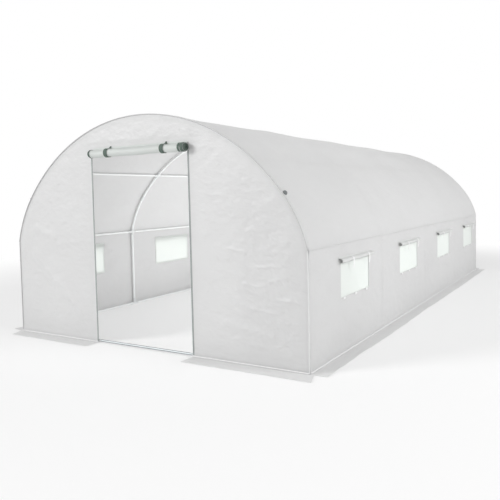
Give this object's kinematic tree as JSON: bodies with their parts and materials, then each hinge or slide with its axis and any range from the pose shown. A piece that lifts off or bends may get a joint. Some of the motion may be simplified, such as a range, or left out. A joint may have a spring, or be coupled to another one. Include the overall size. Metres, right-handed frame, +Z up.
{
  "type": "polytunnel greenhouse",
  "caption": "Walk-in polytunnel greenhouse: bent tube hoops on long rails under a white woven cover, mesh windows along both sides with rolled flaps, and an end doorway with its door rolled up.",
  "frame": {"origin": "on the ground, at the middle of the plan over the skirts", "axes": "+X across to the right-hand side seen from the doorway, +Y along the tunnel away from the doorway, +Z up"},
  "size_m": [3.26, 6.3, 1.9],
  "materials": {
    "white_tube": "white powder-coated steel tube, satin",
    "grey_tube": "grey galvanised steel tube, dull",
    "white_plastic": "white moulded plastic, satin",
    "cover_sheet": "white woven polyethylene sheet, translucent, soft sheen",
    "window_mesh": "fine white insect mesh",
    "rolled_sheet": "rolled woven polyethylene sheet, greenish white",
    "white_webbing": "white woven tape",
    "dark_webbing": "dark green-grey woven tape",
    "zip_tape": "grey zip tape",
    "bolt_head": "grey plastic cap"
  },
  "bodies": {
    "root": {"hoop_1": "white_tube", "hoop_2": "white_tube", "hoop_3": "white_tube", "hoop_4": "white_tube", "hoop_5": "white_tube", "ridge_rail": "white_tube", "haunch_rail_left": "white_tube", "haunch_rail_right": "white_tube", "eave_rail_left": "white_tube", "eave_rail_right": "white_tube", "base_rail_left": "white_tube", "base_rail_right": "white_tube", "front_base_rails": "white_tube", "rear_base_rail": "white_tube", "door_posts": "white_tube", "door_lintel": "white_tube", "door_sill": "grey_tube", "ridge_fittings": "white_plastic", "haunch_fittings": "white_plastic", "bow_couplers": "white_plastic", "eave_fittings": "white_plastic", "foot_fittings": "white_plastic", "door_fittings": "white_plastic", "roof_haunch_left": "cover_sheet", "roof_crown_left": "cover_sheet", "roof_crown_right": "cover_sheet", "roof_haunch_right": "cover_sheet", "wall_left": "cover_sheet", "wall_right": "cover_sheet", "front_panel_left": "cover_sheet", "front_panel_right": "cover_sheet", "front_panel_top": "cover_sheet", "rear_panel": "cover_sheet", "skirt_left": "cover_sheet", "skirt_right": "cover_sheet", "skirt_front_left": "cover_sheet", "skirt_front_right": "cover_sheet", "skirt_rear": "cover_sheet", "window_screens_left": "window_mesh", "window_screens_right": "window_mesh", "window_flaps_left": "rolled_sheet", "window_flaps_right": "rolled_sheet", "door_roll": "rolled_sheet", "window_ties": "white_webbing", "window_tabs": "white_webbing", "door_straps": "dark_webbing", "door_zip_coils": "dark_webbing", "door_zips": "zip_tape", "cover_bolts": "bolt_head"}
  },
  "joints": []
}
